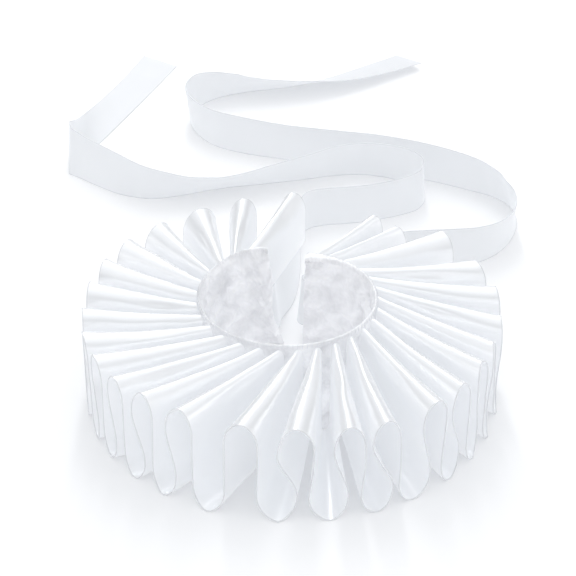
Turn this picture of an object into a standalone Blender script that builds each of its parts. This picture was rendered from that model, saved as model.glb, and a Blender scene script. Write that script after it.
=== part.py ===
"""Ruff collar of white satin, lying on a table: a pleated strip sewn round a tall neckband, and two ribbon ties.

The strip is folded into figure-of-eight pleats. Each pleat has a loop above, with its crest on top, and a
loop below, whose foot rests on the table. Plan places are measured from the middle of the ruff, with the
front of the collar at -Y and the opening at the back, at +Y. Turns are degrees counter-clockwise from +X.
"""

from collections import namedtuple
from math import cos, pi, radians, sin

import bpy
import numpy as np

# Driving dimensions, in metres
CLOTH = 0.0010
SEAM_GAP = 0.0003
NECK_CENTRE = (-0.0037, 0.0079)
NECKBAND_HEIGHT = 0.0800
NECKBAND_CLOTH = 0.0012
RIBBON_WIDTH = 0.0400

# Middle of the ruff, placed so that the whole part is centred over the origin
RUFF_PLACE = (0.0041, -0.2113)

# Neckband, from its left end at the back opening round the front to its right end. Its back leans in towards
# the neck at the foot, and both ends curl in. The waist is just under the rim.
Band = namedtuple("Band", "rim_turn rim_radius waist_radius foot_turn foot_radius")
NECKBAND = [
    Band(101.7, 0.0645, 0.0640, 94.0, 0.0505),
    Band(108.0, 0.0685, 0.0675, 103.0, 0.0530),
    Band(116.0, 0.0700, 0.0690, 113.0, 0.0560),
    Band(127.0, 0.0695, 0.0685, 126.0, 0.0590),
    Band(141.0, 0.0675, 0.0670, 141.0, 0.0625),
    Band(160.0, 0.0672, 0.0672, 160.0, 0.0668),
    Band(190.0, 0.0672, 0.0672, 190.0, 0.0672),
    Band(230.0, 0.0672, 0.0672, 230.0, 0.0672),
    Band(270.0, 0.0672, 0.0672, 270.0, 0.0672),
    Band(310.0, 0.0672, 0.0672, 310.0, 0.0672),
    Band(345.0, 0.0672, 0.0672, 345.0, 0.0668),
    Band(365.0, 0.0662, 0.0662, 365.0, 0.0655),
    Band(389.0, 0.0648, 0.0640, 389.0, 0.0620),
    Band(408.0, 0.0628, 0.0605, 408.0, 0.0565),
    Band(423.0, 0.0612, 0.0575, 423.0, 0.0520),
    Band(435.2, 0.0590, 0.0550, 435.5, 0.0485),
]
WAIST_LIFT = 0.94
NECKBAND_LIFTS = (0.0, 0.3, 0.6, 0.8, WAIST_LIFT, 1.0)
NECKBAND_STEP = 0.0055

# Pleats, from the left of the back opening round the front to its right
Pleat = namedtuple("Pleat", "crest_turn crest_half reach crest_height neck_turn foot_turn foot_half")
PLEATS = [
    Pleat(89.9, 0.0104, 0.159, 0.0800, 117.0, 98.0, 0.0095),
    Pleat(105.0, 0.0118, 0.157, 0.0790, 126.5, 113.0, 0.0100),
    Pleat(119.2, 0.0150, 0.154, 0.0790, 137.5, 128.0, 0.0105),
    Pleat(133.8, 0.0140, 0.154, 0.0790, 149.8, 142.3, 0.0105),
    Pleat(147.0, 0.0130, 0.156, 0.0790, 161.8, 155.0, 0.0100),
    Pleat(159.0, 0.0115, 0.156, 0.0790, 174.0, 167.2, 0.0095),
    Pleat(170.8, 0.0113, 0.156, 0.0790, 187.0, 179.5, 0.0095),
    Pleat(183.4, 0.0110, 0.156, 0.0790, 200.5, 192.2, 0.0095),
    Pleat(195.1, 0.0108, 0.158, 0.0790, 213.4, 203.0, 0.0095),
    Pleat(206.2, 0.0105, 0.158, 0.0790, 226.6, 212.9, 0.0090),
    Pleat(216.8, 0.0098, 0.157, 0.0790, 239.8, 223.6, 0.0095),
    Pleat(227.4, 0.0098, 0.154, 0.0790, 252.6, 234.3, 0.0098),
    Pleat(239.3, 0.0108, 0.152, 0.0790, 264.6, 247.4, 0.0120),
    Pleat(256.3, 0.0122, 0.152, 0.0790, 276.2, 266.2, 0.0150),
    Pleat(270.2, 0.0136, 0.152, 0.0790, 288.0, 279.5, 0.0140),
    Pleat(284.2, 0.0108, 0.155, 0.0790, 300.0, 292.2, 0.0122),
    Pleat(293.9, 0.0110, 0.157, 0.0790, 311.8, 302.8, 0.0125),
    Pleat(308.6, 0.0108, 0.158, 0.0790, 323.8, 315.5, 0.0110),
    Pleat(319.0, 0.0105, 0.156, 0.0790, 335.8, 326.4, 0.0100),
    Pleat(329.8, 0.0100, 0.154, 0.0790, 347.8, 336.5, 0.0095),
    Pleat(339.8, 0.0098, 0.153, 0.0790, 360.3, 348.0, 0.0095),
    Pleat(352.5, 0.0105, 0.154, 0.0790, 372.8, 361.5, 0.0100),
    Pleat(366.5, 0.0110, 0.154, 0.0790, 385.0, 375.5, 0.0105),
    Pleat(380.8, 0.0118, 0.152, 0.0790, 397.0, 390.5, 0.0105),
    Pleat(399.2, 0.0120, 0.155, 0.0790, 411.0, 409.0, 0.0090),
    Pleat(415.6, 0.0085, 0.149, 0.0690, 424.0, 419.4, 0.0040),
    Pleat(423.4, 0.0075, 0.148, 0.0730, 432.8, 427.0, 0.0050),
]
FOOT_REACH = 0.157

# The cut ends of the strip hang free from the first and the last crest
Hem = namedtuple("Hem", "turn reach height neck_turn neck_height")
LEFT_HEM = Hem(86.1, 0.1600, 0.032, 102.5, 0.046)
RIGHT_HEM = Hem(427.2, 0.150, 0.030, 434.9, 0.062)

# Shape of one pleat at the neck seam and at the outer edge
NECK_CREST_HEIGHT = 0.0775
NECK_LOOP_DEPTH = 0.0060
CREST_LOOP_DEPTH = 0.0180
FOOT_LOOP_DEPTH = 0.0185
FOOT_FLAT_HALF = 0.0010
LOOP_STEPS = 3
WALL_STEPS = 4
RADIAL_STEPS = 4

# Ribbon ties: the lower edge along the table, and the lean of the ribbon to the left of its way, in degrees
Station = namedtuple("Station", "x y z lean")
LEFT_TIE_STANDING = [
    Station(-0.0245, 0.0650, 0.004, 8),
    Station(-0.0190, 0.0657, 0.004, 8),
    Station(-0.0143, 0.0680, 0.004, 7),
    Station(-0.0115, 0.0718, 0.004, 6),
    Station(-0.0103, 0.0765, 0.004, 6),
    Station(-0.0096, 0.0830, 0.003, 7),
    Station(-0.0080, 0.0900, 0.002, 10),
    Station(-0.0050, 0.0985, 0.001, 13),
    Station(-0.0005, 0.1100, 0.000, 15),
    Station(0.0030, 0.1250, 0.000, 15),
    Station(0.0052, 0.1420, 0.000, 13),
    Station(0.0065, 0.1620, 0.000, 9),
    Station(0.0070, 0.1840, 0.000, 4),
    Station(0.0070, 0.2050, 0.000, 0),
    Station(0.0085, 0.2215, 0.000, -2),
    Station(0.0155, 0.2315, 0.000, -4),
    Station(0.0300, 0.2375, 0.000, -6),
    Station(0.0480, 0.2398, 0.000, -6),
    Station(0.0720, 0.2450, 0.000, -6),
    Station(0.0980, 0.2548, 0.000, -4),
    Station(0.1125, 0.2635, 0.000, -1),
    Station(0.1200, 0.2770, 0.000, 3),
    Station(0.1205, 0.2920, 0.000, 6),
    Station(0.1110, 0.3070, 0.000, 8),
    Station(0.0925, 0.3200, 0.000, 12),
    Station(0.0650, 0.3275, 0.000, 15),
    Station(0.0370, 0.3250, 0.000, 19),
    Station(0.0090, 0.3175, 0.000, 27),
    Station(-0.0190, 0.3115, 0.000, 35),
    Station(-0.0470, 0.3060, 0.000, 43),
    Station(-0.0750, 0.2990, 0.000, 45),
    Station(-0.1010, 0.2890, 0.000, 36),
    Station(-0.1290, 0.2835, 0.000, 16),
    Station(-0.1560, 0.2905, 0.000, -3),
    Station(-0.1790, 0.3060, 0.000, -11),
    Station(-0.1960, 0.3200, 0.000, -14),
]
RIGHT_TIE = [
    Station(0.0122, 0.0578, 0.017, -5),
    Station(0.0098, 0.0578, 0.017, -5),
    Station(0.0066, 0.0594, 0.017, -5),
    Station(0.0044, 0.0632, 0.017, -5),
    Station(0.0042, 0.0680, 0.017, -5),
    Station(0.0060, 0.0728, 0.016, -5),
    Station(0.0100, 0.0787, 0.014, -4),
    Station(0.0180, 0.0900, 0.009, -2),
    Station(0.0320, 0.1130, 0.001, 0),
    Station(0.0480, 0.1350, 0.000, 0),
    Station(0.0660, 0.1510, 0.000, 0),
    Station(0.0900, 0.1600, 0.000, 0),
    Station(0.1140, 0.1640, 0.000, -1),
    Station(0.1350, 0.1672, 0.000, -3),
    Station(0.1560, 0.1740, 0.000, -8),
    Station(0.1740, 0.1866, 0.000, -11),
    Station(0.1880, 0.2050, 0.000, -7),
    Station(0.1966, 0.2254, 0.000, 4),
    Station(0.2005, 0.2470, 0.000, 16),
    Station(0.1967, 0.2696, 0.000, 21),
    Station(0.1840, 0.2860, 0.000, 12),
    Station(0.1647, 0.2973, 0.000, 5),
    Station(0.1245, 0.3173, 0.000, 3),
    Station(0.0820, 0.3320, 0.000, 3),
    Station(0.0390, 0.3440, 0.000, 6),
    Station(-0.0050, 0.3560, 0.000, 8),
    Station(-0.0480, 0.3690, 0.000, 4),
    Station(-0.0740, 0.3835, 0.000, 5),
    Station(-0.0905, 0.4050, 0.000, 7),
    Station(-0.0990, 0.4300, 0.000, 6),
    Station(-0.0965, 0.4560, 0.000, -4),
    Station(-0.0825, 0.4762, 0.000, -22),
    Station(-0.0640, 0.4890, 0.000, -34),
    Station(-0.0440, 0.4965, 0.000, -44),
    Station(0.0000, 0.5085, 0.000, -57),
    Station(0.0390, 0.5276, 0.000, -70),
    Station(0.0760, 0.5534, 0.000, -77),
    Station(0.1120, 0.5800, 0.000, -80),
]

# The left tie is creased over at its left end, and its tail lies back across the table
Ruling = namedtuple("Ruling", "low_x low_y low_z high_x high_y high_z")
LEFT_TIE_FOLD = [
    Ruling(-0.2045, 0.3260, 0.0005, -0.2060, 0.3490, 0.0375),
    Ruling(-0.2080, 0.3290, 0.0005, -0.2085, 0.3610, 0.0375),
    Ruling(-0.2078, 0.3320, 0.0005, -0.2088, 0.3650, 0.0360),
    Ruling(-0.2000, 0.3500, 0.0005, -0.2055, 0.3850, 0.0270),
    Ruling(-0.1800, 0.3998, 0.0005, -0.2010, 0.4310, 0.0110),
    Ruling(-0.1600, 0.4500, 0.0005, -0.1890, 0.4770, 0.0030),
    Ruling(-0.1400, 0.5015, 0.0005, -0.1725, 0.5260, 0.0005),
    Ruling(-0.1202, 0.5543, 0.0005, -0.1553, 0.5786, 0.0005),
]
RIBBON_ACROSS = 3
RIBBON_STEP = 0.0075

WHITE_SATIN = (0.93, 0.94, 0.97, 1.0)
NECKBAND_SATIN = (0.88, 0.89, 0.93, 1.0)
SATIN_ROUGHNESS = 0.35


def clear_scene():
    for obj in list(bpy.data.objects):
        bpy.data.objects.remove(obj, do_unlink=True)


def new_collection(name):
    collection = bpy.data.collections.new(name)
    bpy.context.scene.collection.children.link(collection)
    return collection


def cloth_material(name, colour):
    material = bpy.data.materials.new(name)
    material.use_nodes = True
    shader = material.node_tree.nodes["Principled BSDF"]
    shader.inputs["Base Color"].default_value = colour
    shader.inputs["Roughness"].default_value = SATIN_ROUGHNESS
    shader.inputs["Metallic"].default_value = 0.0
    material.diffuse_color = colour
    return material


def mix(first, second, share):
    return first + (second - first) * share


def ring_point(centre, radius, turn):
    return np.array([centre[0] + radius * cos(radians(turn)), centre[1] + radius * sin(radians(turn))])


def smooth_curve(points, step):
    """Points about one step apart on a smooth curve through the given ones (centripetal Catmull-Rom)."""
    points = np.array(points, float)
    ends = [2 * points[0] - points[1], *points, 2 * points[-1] - points[-2]]
    curve = []
    for a, b, c, d in zip(ends, ends[1:], ends[2:], ends[3:]):
        t1 = np.linalg.norm((b - a)[:3]) ** 0.5
        t2 = t1 + np.linalg.norm((c - b)[:3]) ** 0.5
        t3 = t2 + np.linalg.norm((d - c)[:3]) ** 0.5
        count = max(1, round(np.linalg.norm((c - b)[:3]) / step))
        for t in np.linspace(t1, t2, count, endpoint=False):
            ab = a + (b - a) * t / t1
            bc = b + (c - b) * (t - t1) / (t2 - t1)
            cd = c + (d - c) * (t - t2) / (t3 - t2)
            abc = ab + (bc - ab) * t / t2
            bcd = bc + (cd - bc) * (t - t1) / (t3 - t1)
            curve.append(abc + (bcd - abc) * (t - t1) / (t2 - t1))
    curve.append(points[-1])
    return np.array(curve)


def cloth_sheet(name, rows, thickness, material, collection, parent):
    """A wall of even thickness on a grid of points. Its underside is flat where it rests on the table."""
    rows = np.array(rows)
    count, across = rows.shape[:2]
    faces = [
        (i * across + j, i * across + j + 1, (i + 1) * across + j + 1, (i + 1) * across + j)
        for i in range(count - 1)
        for j in range(across - 1)
    ]
    surface = bpy.data.meshes.new(name + "_surface")
    surface.from_pydata(rows.reshape(-1, 3).tolist(), [], faces)
    sheet = bpy.data.objects.new(name, surface)
    collection.objects.link(sheet)
    wall = sheet.modifiers.new("wall", "SOLIDIFY")
    wall.thickness = thickness
    wall.offset = 0.0
    wall.use_even_offset = True
    graph = bpy.context.evaluated_depsgraph_get()
    solid = bpy.data.meshes.new_from_object(sheet.evaluated_get(graph))
    solid.name = name
    sheet.modifiers.clear()
    sheet.data = solid
    bpy.data.meshes.remove(surface)
    for vertex in solid.vertices:
        if vertex.co.z < thickness / 2:
            vertex.co.z = 0.0
    solid.shade_smooth()
    solid.set_sharp_from_angle(angle=radians(50))
    solid.materials.clear()
    solid.materials.append(material)
    sheet.parent = parent
    return sheet


def band_radius(turn, height):
    """From the neck's centre to the middle of the neckband's wall."""
    lift = height / NECKBAND_HEIGHT
    turns = [mix(band.foot_turn, band.rim_turn, lift) for band in NECKBAND]
    foot, waist, rim = (
        np.interp(turn, turns, [getattr(band, column) for band in NECKBAND])
        for column in ("foot_radius", "waist_radius", "rim_radius")
    )
    return np.interp(lift, (0.0, WAIST_LIFT, 1.0), (foot, waist, rim))


def wall_profile(length, low, high, foot_half, foot_depth, crest_half, crest_depth):
    """(way, height) points up one wall, from the foot of a loop to a crest. A hemmed end has no foot loop."""
    profile = []
    if foot_half > 0:
        profile.append((FOOT_FLAT_HALF, low))
    for step in range(1, LOOP_STEPS):
        angle = pi / 2 * step / LOOP_STEPS
        if foot_half > 0:
            profile.append((foot_half * sin(angle), low + foot_depth * (1 - cos(angle))))
    for step in range(WALL_STEPS):
        part = step / WALL_STEPS
        bend = part * part * (3 - 2 * part)
        way = mix(foot_half, length - crest_half, bend)
        profile.append((way, mix(low + foot_depth, high - crest_depth, part)))
    for step in range(LOOP_STEPS + 1):
        angle = pi / 2 * step / LOOP_STEPS
        profile.append((length - crest_half * cos(angle), high - crest_depth * (1 - sin(angle))))
    return profile


def outer_edge(turn, reach, height, foot_half, pleat):
    """The outer edge of one wall, from a foot or a hem to the crest of its pleat."""
    start = ring_point((0.0, 0.0), reach, turn)
    span = ring_point((0.0, 0.0), pleat.reach, pleat.crest_turn) - start
    length = np.linalg.norm(span)
    foot_depth = FOOT_LOOP_DEPTH if foot_half > 0 else 0.0
    high = pleat.crest_height - CLOTH / 2
    profile = wall_profile(length, height, high, foot_half, foot_depth, pleat.crest_half, CREST_LOOP_DEPTH)
    return [np.array([*(start + span * way / length), up]) for way, up in profile]


def neck_edge(turn, height, foot_half, pleat):
    """The inner edge of the same wall, along its seam with the neckband."""
    span = pleat.neck_turn - turn
    clear = NECKBAND_CLOTH / 2 + SEAM_GAP + CLOTH / 4
    length = abs(span) * pi / 180 * (NECKBAND[0].rim_radius + clear)
    half = length / 2 if foot_half > 0 else 0.0
    foot_depth = NECK_LOOP_DEPTH if foot_half > 0 else 0.0
    high = NECK_CREST_HEIGHT - CLOTH / 2
    edge = []
    for way, up in wall_profile(length, height, high, half, foot_depth, length / 2, NECK_LOOP_DEPTH):
        place = turn + span * way / length
        radius = band_radius(place, up + CLOTH) + clear
        edge.append(np.array([*ring_point(NECK_CENTRE, radius, place), up]))
    return edge


def strip_edges():
    """The folded line of the strip along the neck and along its outer edge, point for point."""
    rest = CLOTH / 2
    neck, outer = [], []
    for index, pleat in enumerate(PLEATS):
        if index == 0:
            neck += neck_edge(LEFT_HEM.neck_turn, LEFT_HEM.neck_height, 0.0, pleat)
            outer += outer_edge(LEFT_HEM.turn, LEFT_HEM.reach, LEFT_HEM.height, 0.0, pleat)
        else:
            before = PLEATS[index - 1]
            foot_neck_turn = (before.neck_turn + pleat.neck_turn) / 2
            neck += neck_edge(foot_neck_turn, rest, before.foot_half, pleat)
            outer += outer_edge(before.foot_turn, FOOT_REACH, rest, before.foot_half, pleat)
        if index == len(PLEATS) - 1:
            down_neck = neck_edge(RIGHT_HEM.neck_turn, RIGHT_HEM.neck_height, 0.0, pleat)
            down_outer = outer_edge(RIGHT_HEM.turn, RIGHT_HEM.reach, RIGHT_HEM.height, 0.0, pleat)
        else:
            foot_neck_turn = (pleat.neck_turn + PLEATS[index + 1].neck_turn) / 2
            down_neck = neck_edge(foot_neck_turn, rest, pleat.foot_half, pleat)
            down_outer = outer_edge(pleat.foot_turn, FOOT_REACH, rest, pleat.foot_half, pleat)
        neck += down_neck[-2::-1]
        outer += down_outer[-2::-1]
    return np.array(neck), np.array(outer)


def make_ruff(collection, parent):
    neck, outer = strip_edges()
    rows = [mix(neck, outer, step / RADIAL_STEPS) for step in range(RADIAL_STEPS + 1)]
    return cloth_sheet("ruff_strip", rows, CLOTH, cloth_material("ruff_satin", WHITE_SATIN), collection, parent)


def make_neckband(collection, parent):
    """A tall upright band round the neck, of the same satin."""
    first, last = NECKBAND[0], NECKBAND[-1]
    steps = round(radians(last.rim_turn - first.rim_turn) * first.rim_radius / NECKBAND_STEP)
    rows = []
    for step in range(steps + 1):
        column = []
        for lift in NECKBAND_LIFTS:
            start = mix(first.foot_turn, first.rim_turn, lift)
            stop = mix(last.foot_turn, last.rim_turn, lift)
            turn = mix(start, stop, step / steps)
            height = lift * NECKBAND_HEIGHT
            column.append([*ring_point(NECK_CENTRE, band_radius(turn, height), turn), height])
        rows.append(column)
    material = cloth_material("neckband_satin", NECKBAND_SATIN)
    return cloth_sheet("neckband", rows, NECKBAND_CLOTH, material, collection, parent)


def standing_rulings(stations, step):
    """Lines across a ribbon that stands on its lower edge, each a (low point, high point) pair."""
    curve = smooth_curve([(s.x, s.y, s.z, s.lean) for s in stations], step)
    rulings = []
    for index, (x, y, z, lean) in enumerate(curve):
        before = curve[max(index - 1, 0)]
        after = curve[min(index + 1, len(curve) - 1)]
        way = (after - before)[:2]
        way /= np.linalg.norm(way)
        left = np.array([-way[1], way[0]])
        tilt = radians(lean)
        low = np.array([x, y, z])
        rise = np.array([*(left * sin(tilt)), cos(tilt)])
        rulings.append((low, low + rise * RIBBON_WIDTH))
    return rulings


def ribbon_rows(rulings):
    return [
        [mix(low, high, part / RIBBON_ACROSS) for part in range(RIBBON_ACROSS + 1)] for low, high in rulings
    ]


def make_left_tie(collection, parent):
    rulings = standing_rulings(LEFT_TIE_STANDING, RIBBON_STEP)
    fold = smooth_curve([tuple(ruling) for ruling in LEFT_TIE_FOLD], RIBBON_STEP * 2)
    rulings += [(values[:3], values[3:]) for values in fold]
    material = cloth_material("left_tie_satin", WHITE_SATIN)
    return cloth_sheet("ribbon_tie_left", ribbon_rows(rulings), CLOTH, material, collection, parent)


def make_right_tie(collection, parent):
    rulings = standing_rulings(RIGHT_TIE, RIBBON_STEP)
    material = cloth_material("right_tie_satin", WHITE_SATIN)
    return cloth_sheet("ribbon_tie_right", ribbon_rows(rulings), CLOTH, material, collection, parent)


clear_scene()
collar = new_collection("ruff_collar")
place = bpy.data.objects.new("collar_place", None)
place.location = (*RUFF_PLACE, 0.0)
collar.objects.link(place)
make_ruff(collar, place)
make_neckband(collar, place)
make_left_tie(collar, place)
make_right_tie(collar, place)
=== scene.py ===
from collections import namedtuple
from math import cos, pi, radians, sin

import bpy
import numpy as np
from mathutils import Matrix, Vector, noise


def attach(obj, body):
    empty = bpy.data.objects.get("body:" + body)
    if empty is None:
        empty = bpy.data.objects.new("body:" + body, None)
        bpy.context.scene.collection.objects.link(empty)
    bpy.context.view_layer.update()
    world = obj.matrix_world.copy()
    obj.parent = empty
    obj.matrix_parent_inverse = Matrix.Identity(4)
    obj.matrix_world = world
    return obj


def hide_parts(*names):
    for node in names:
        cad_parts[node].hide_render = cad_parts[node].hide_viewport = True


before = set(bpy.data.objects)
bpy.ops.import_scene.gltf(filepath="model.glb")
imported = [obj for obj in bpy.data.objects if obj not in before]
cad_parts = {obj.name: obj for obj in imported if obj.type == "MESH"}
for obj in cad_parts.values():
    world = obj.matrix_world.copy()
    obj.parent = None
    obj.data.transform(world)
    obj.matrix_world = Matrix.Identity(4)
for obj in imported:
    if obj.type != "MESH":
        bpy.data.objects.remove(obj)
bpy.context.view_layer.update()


# Camera, table and studio light
# The collar lies on a plain white table top. The camera looks down on it from the front. A narrow lamp
# above draws long highlights along the satin, and wide soft ones stand all round.
RUFF_PLACE = (0.0041, -0.2113)
AIM_FROM_RUFF = (-0.0035, 0.1364)
CAMERA_AIM = (RUFF_PLACE[0] + AIM_FROM_RUFF[0], RUFF_PLACE[1] + AIM_FROM_RUFF[1], 0.0)
CAMERA_DISTANCE = 1.40
CAMERA_ELEVATION = 33.65
CAMERA_LENS = 104.36
CAMERA_SENSOR = 36.0
TABLE_HALF = 6.0
TABLE_GLOW = 0.045
TABLE_WHITE = (0.97, 0.97, 0.975, 1.0)
TABLE_ROUGHNESS = 0.6
ROOM_WHITE = (0.965, 0.98, 1.0, 1.0)
ZENITH_LIGHT = 1.29
HORIZON_LIGHT = 0.08
LIGHT_BOUNCES = 24
LAMPS_AIM = (0.0, -0.2, 0.0)

Lamp = namedtuple("Lamp", "name x y z width depth power")
LAMPS = [
    Lamp("strip_softbox", -0.05, 1.00, 1.40, 0.14, 1.70, 5.5),
    Lamp("back_softbox", 0.10, 2.30, 0.90, 2.00, 0.70, 4.0),
    Lamp("left_fill", -2.60, -0.30, 0.70, 2.00, 1.00, 6.0),
    Lamp("right_fill", 2.60, -0.30, 0.70, 2.00, 1.00, 8.0),
    Lamp("front_fill", 0.00, -2.60, 0.60, 2.40, 0.80, 5.0),
]

camera_data = bpy.data.cameras.new("camera")
camera_data.lens = CAMERA_LENS
camera_data.sensor_width = CAMERA_SENSOR
camera = bpy.data.objects.new("camera", camera_data)
tilt = radians(CAMERA_ELEVATION)
camera.location = (
    CAMERA_AIM[0],
    CAMERA_AIM[1] - CAMERA_DISTANCE * cos(tilt),
    CAMERA_AIM[2] + CAMERA_DISTANCE * sin(tilt),
)
camera.rotation_euler = (radians(90) - tilt, 0.0, 0.0)
bpy.context.scene.collection.objects.link(camera)
bpy.context.scene.camera = camera

table_material = bpy.data.materials.new("white_table")
table_material.use_nodes = True
table_shader = table_material.node_tree.nodes["Principled BSDF"]
table_shader.inputs["Base Color"].default_value = TABLE_WHITE
table_shader.inputs["Roughness"].default_value = TABLE_ROUGHNESS
table_shader.inputs["Emission Color"].default_value = TABLE_WHITE
table_shader.inputs["Emission Strength"].default_value = TABLE_GLOW
table_mesh = bpy.data.meshes.new("table_top")
table_corners = [
    (-TABLE_HALF, -TABLE_HALF),
    (TABLE_HALF, -TABLE_HALF),
    (TABLE_HALF, TABLE_HALF),
    (-TABLE_HALF, TABLE_HALF),
]
table_mesh.from_pydata([(x, y, 0.0) for x, y in table_corners], [], [(0, 1, 2, 3)])
table_mesh.materials.append(table_material)
table = bpy.data.objects.new("table_top", table_mesh)
bpy.context.scene.collection.objects.link(table)

room = bpy.data.worlds.new("white_room")
room.use_nodes = True
room_nodes, room_links = room.node_tree.nodes, room.node_tree.links
room_nodes["Background"].inputs["Color"].default_value = ROOM_WHITE
direction = room_nodes.new("ShaderNodeTexCoord")
upward = room_nodes.new("ShaderNodeSeparateXYZ")
room_links.new(direction.outputs["Generated"], upward.inputs["Vector"])
brightness = room_nodes.new("ShaderNodeMapRange")
brightness.inputs["To Min"].default_value = HORIZON_LIGHT
brightness.inputs["To Max"].default_value = ZENITH_LIGHT
room_links.new(upward.outputs["Z"], brightness.inputs["Value"])
room_links.new(brightness.outputs["Result"], room_nodes["Background"].inputs["Strength"])
bpy.context.scene.world = room
bpy.context.scene.view_settings.view_transform = "Standard"
bpy.context.scene.cycles.max_bounces = LIGHT_BOUNCES
bpy.context.scene.cycles.diffuse_bounces = LIGHT_BOUNCES
bpy.context.scene.cycles.glossy_bounces = LIGHT_BOUNCES

for lamp in LAMPS:
    light = bpy.data.lights.new(lamp.name, "AREA")
    light.shape = "RECTANGLE"
    light.size = lamp.width
    light.size_y = lamp.depth
    light.energy = lamp.power
    box = bpy.data.objects.new(lamp.name, light)
    box.location = (lamp.x, lamp.y, lamp.z)
    box.rotation_euler = (Vector(LAMPS_AIM) - box.location).to_track_quat("-Z", "Y").to_euler()
    bpy.context.scene.collection.objects.link(box)


# Neckband
# A tall upright band of the same satin round the neck, crushed on its inside, with both ends loose at the
# back. Its top edge is rolled over and whip-stitched by hand.
NECK_CENTRE = (-0.0037, 0.0079)
NECKBAND_HEIGHT = 0.0800
NECKBAND_CLOTH = 0.0007
NECKBAND_COLUMNS = 420
NECKBAND_LEVELS = 84
WAIST_LIFT = 0.94

# The loose left end is drawn back from a straight edge: at each height in metres, by how many degrees
END_BOW_HEIGHTS = (0.000, 0.010, 0.020, 0.031, 0.044, 0.057, 0.080)
END_BOW_TURNS = (-0.5, 1.5, 5.5, 6.0, 3.5, 2.5, 2.5)
END_BOW_SHARE = 0.09

# The band from its left end round the front to its right end, at its rim, at its waist just under the rim
# and at its foot. Turns are in degrees from the right-hand side, anticlockwise seen from above.
Band = namedtuple("Band", "rim_turn rim_radius waist_radius foot_turn foot_radius")
NECKBAND = [
    Band(101.7, 0.0645, 0.0640, 94.0, 0.0505),
    Band(108.0, 0.0685, 0.0675, 103.0, 0.0530),
    Band(116.0, 0.0700, 0.0690, 113.0, 0.0560),
    Band(127.0, 0.0695, 0.0685, 126.0, 0.0590),
    Band(141.0, 0.0675, 0.0670, 141.0, 0.0625),
    Band(160.0, 0.0672, 0.0672, 160.0, 0.0668),
    Band(190.0, 0.0672, 0.0672, 190.0, 0.0672),
    Band(230.0, 0.0672, 0.0672, 230.0, 0.0672),
    Band(270.0, 0.0672, 0.0672, 270.0, 0.0672),
    Band(310.0, 0.0672, 0.0672, 310.0, 0.0672),
    Band(345.0, 0.0672, 0.0672, 345.0, 0.0668),
    Band(365.0, 0.0662, 0.0662, 365.0, 0.0655),
    Band(389.0, 0.0648, 0.0640, 389.0, 0.0620),
    Band(408.0, 0.0628, 0.0605, 408.0, 0.0565),
    Band(423.0, 0.0612, 0.0575, 423.0, 0.0520),
    Band(435.2, 0.0590, 0.0550, 435.5, 0.0485),
]

# Crush creases on the inside, each from one (turn, height) to another: turns in degrees, and heights, depth
# and width in millimetres. A crease stands in towards the neck, and is pressed back out if it is negative.
Crease = namedtuple("Crease", "turn height to_turn to_height depth width")
CREASES = [
    Crease(102, 73, 114, 70, 2.6, 2.0),
    Crease(104, 66, 112, 60, 2.6, 2.0),
    Crease(104, 51, 121, 56, 3.4, 2.2),
    Crease(121, 56, 150, 64, 1.8, 3.2),
    Crease(103, 60, 105, 44, 2.2, 1.8),
    Crease(112, 42, 127, 39, 2.6, 2.0),
    Crease(134, 54, 140, 38, -1.4, 1.8),
    Crease(103, 38, 115, 31, 3.6, 1.7),
    Crease(104, 27, 113, 22, 5.0, 1.6),
    Crease(101, 20, 110, 14, 5.2, 1.5),
    Crease(97, 11, 107, 8, 5.0, 1.5),
    Crease(95, 3, 105, 2, 4.2, 1.5),
    Crease(118, 30, 134, 26, 2.4, 2.2),
    Crease(130, 36, 148, 14, 2.0, 3.0),
    Crease(136, 12, 156, 26, 1.4, 3.2),
    Crease(147, 60, 160, 28, 1.4, 2.8),
    Crease(158, 44, 178, 56, 1.2, 3.4),
    Crease(168, 30, 186, 10, 1.3, 3.0),
    Crease(180, 66, 200, 44, 1.3, 3.2),
    Crease(196, 20, 220, 34, 1.3, 3.4),
    Crease(212, 62, 236, 50, 1.2, 3.2),
    Crease(232, 28, 250, 12, 1.3, 3.0),
    Crease(246, 68, 264, 40, 1.2, 3.4),
    Crease(262, 18, 286, 30, 1.3, 3.2),
    Crease(278, 60, 300, 52, 1.2, 3.0),
    Crease(298, 34, 316, 12, 1.4, 3.2),
    Crease(312, 66, 334, 46, 1.3, 3.4),
    Crease(330, 26, 350, 38, 1.3, 3.0),
    Crease(346, 60, 364, 30, 1.4, 3.2),
    Crease(360, 14, 384, 26, 1.4, 3.2),
    Crease(372, 64, 392, 42, 1.5, 3.0),
    Crease(388, 30, 410, 18, 1.6, 3.2),
    Crease(422, 70, 436, 77, 5.0, 1.8),
    Crease(416, 64, 436, 69, -2.2, 3.6),
    Crease(404, 66, 424, 60, 2.0, 3.0),
    Crease(423, 47, 436, 53, 3.2, 1.9),
    Crease(418, 36, 435, 40, 2.6, 2.0),
    Crease(404, 52, 416, 40, 1.6, 3.2),
    Crease(404, 26, 424, 20, 1.6, 3.4),
    Crease(414, 10, 434, 14, 2.0, 2.6),
]
BAND_RADIUS_MM = 67.0
CREASE_END_FADE = 0.4
CRUMPLE_DEPTH = 0.0024
CRUMPLES_PER_DEGREE = 0.07
CRUMPLES_PER_METRE = 60
CRUMPLE_SHARPNESS = 2.2
FINE_CRUMPLE_SCALE = 2.7
FINE_CRUMPLE_SHARPNESS = 2.0
FINE_CRUMPLE_SHARE = 0.4
OUTWARD_LIMIT = 0.0003
RIM_HELD_SHARE = 0.05

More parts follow.
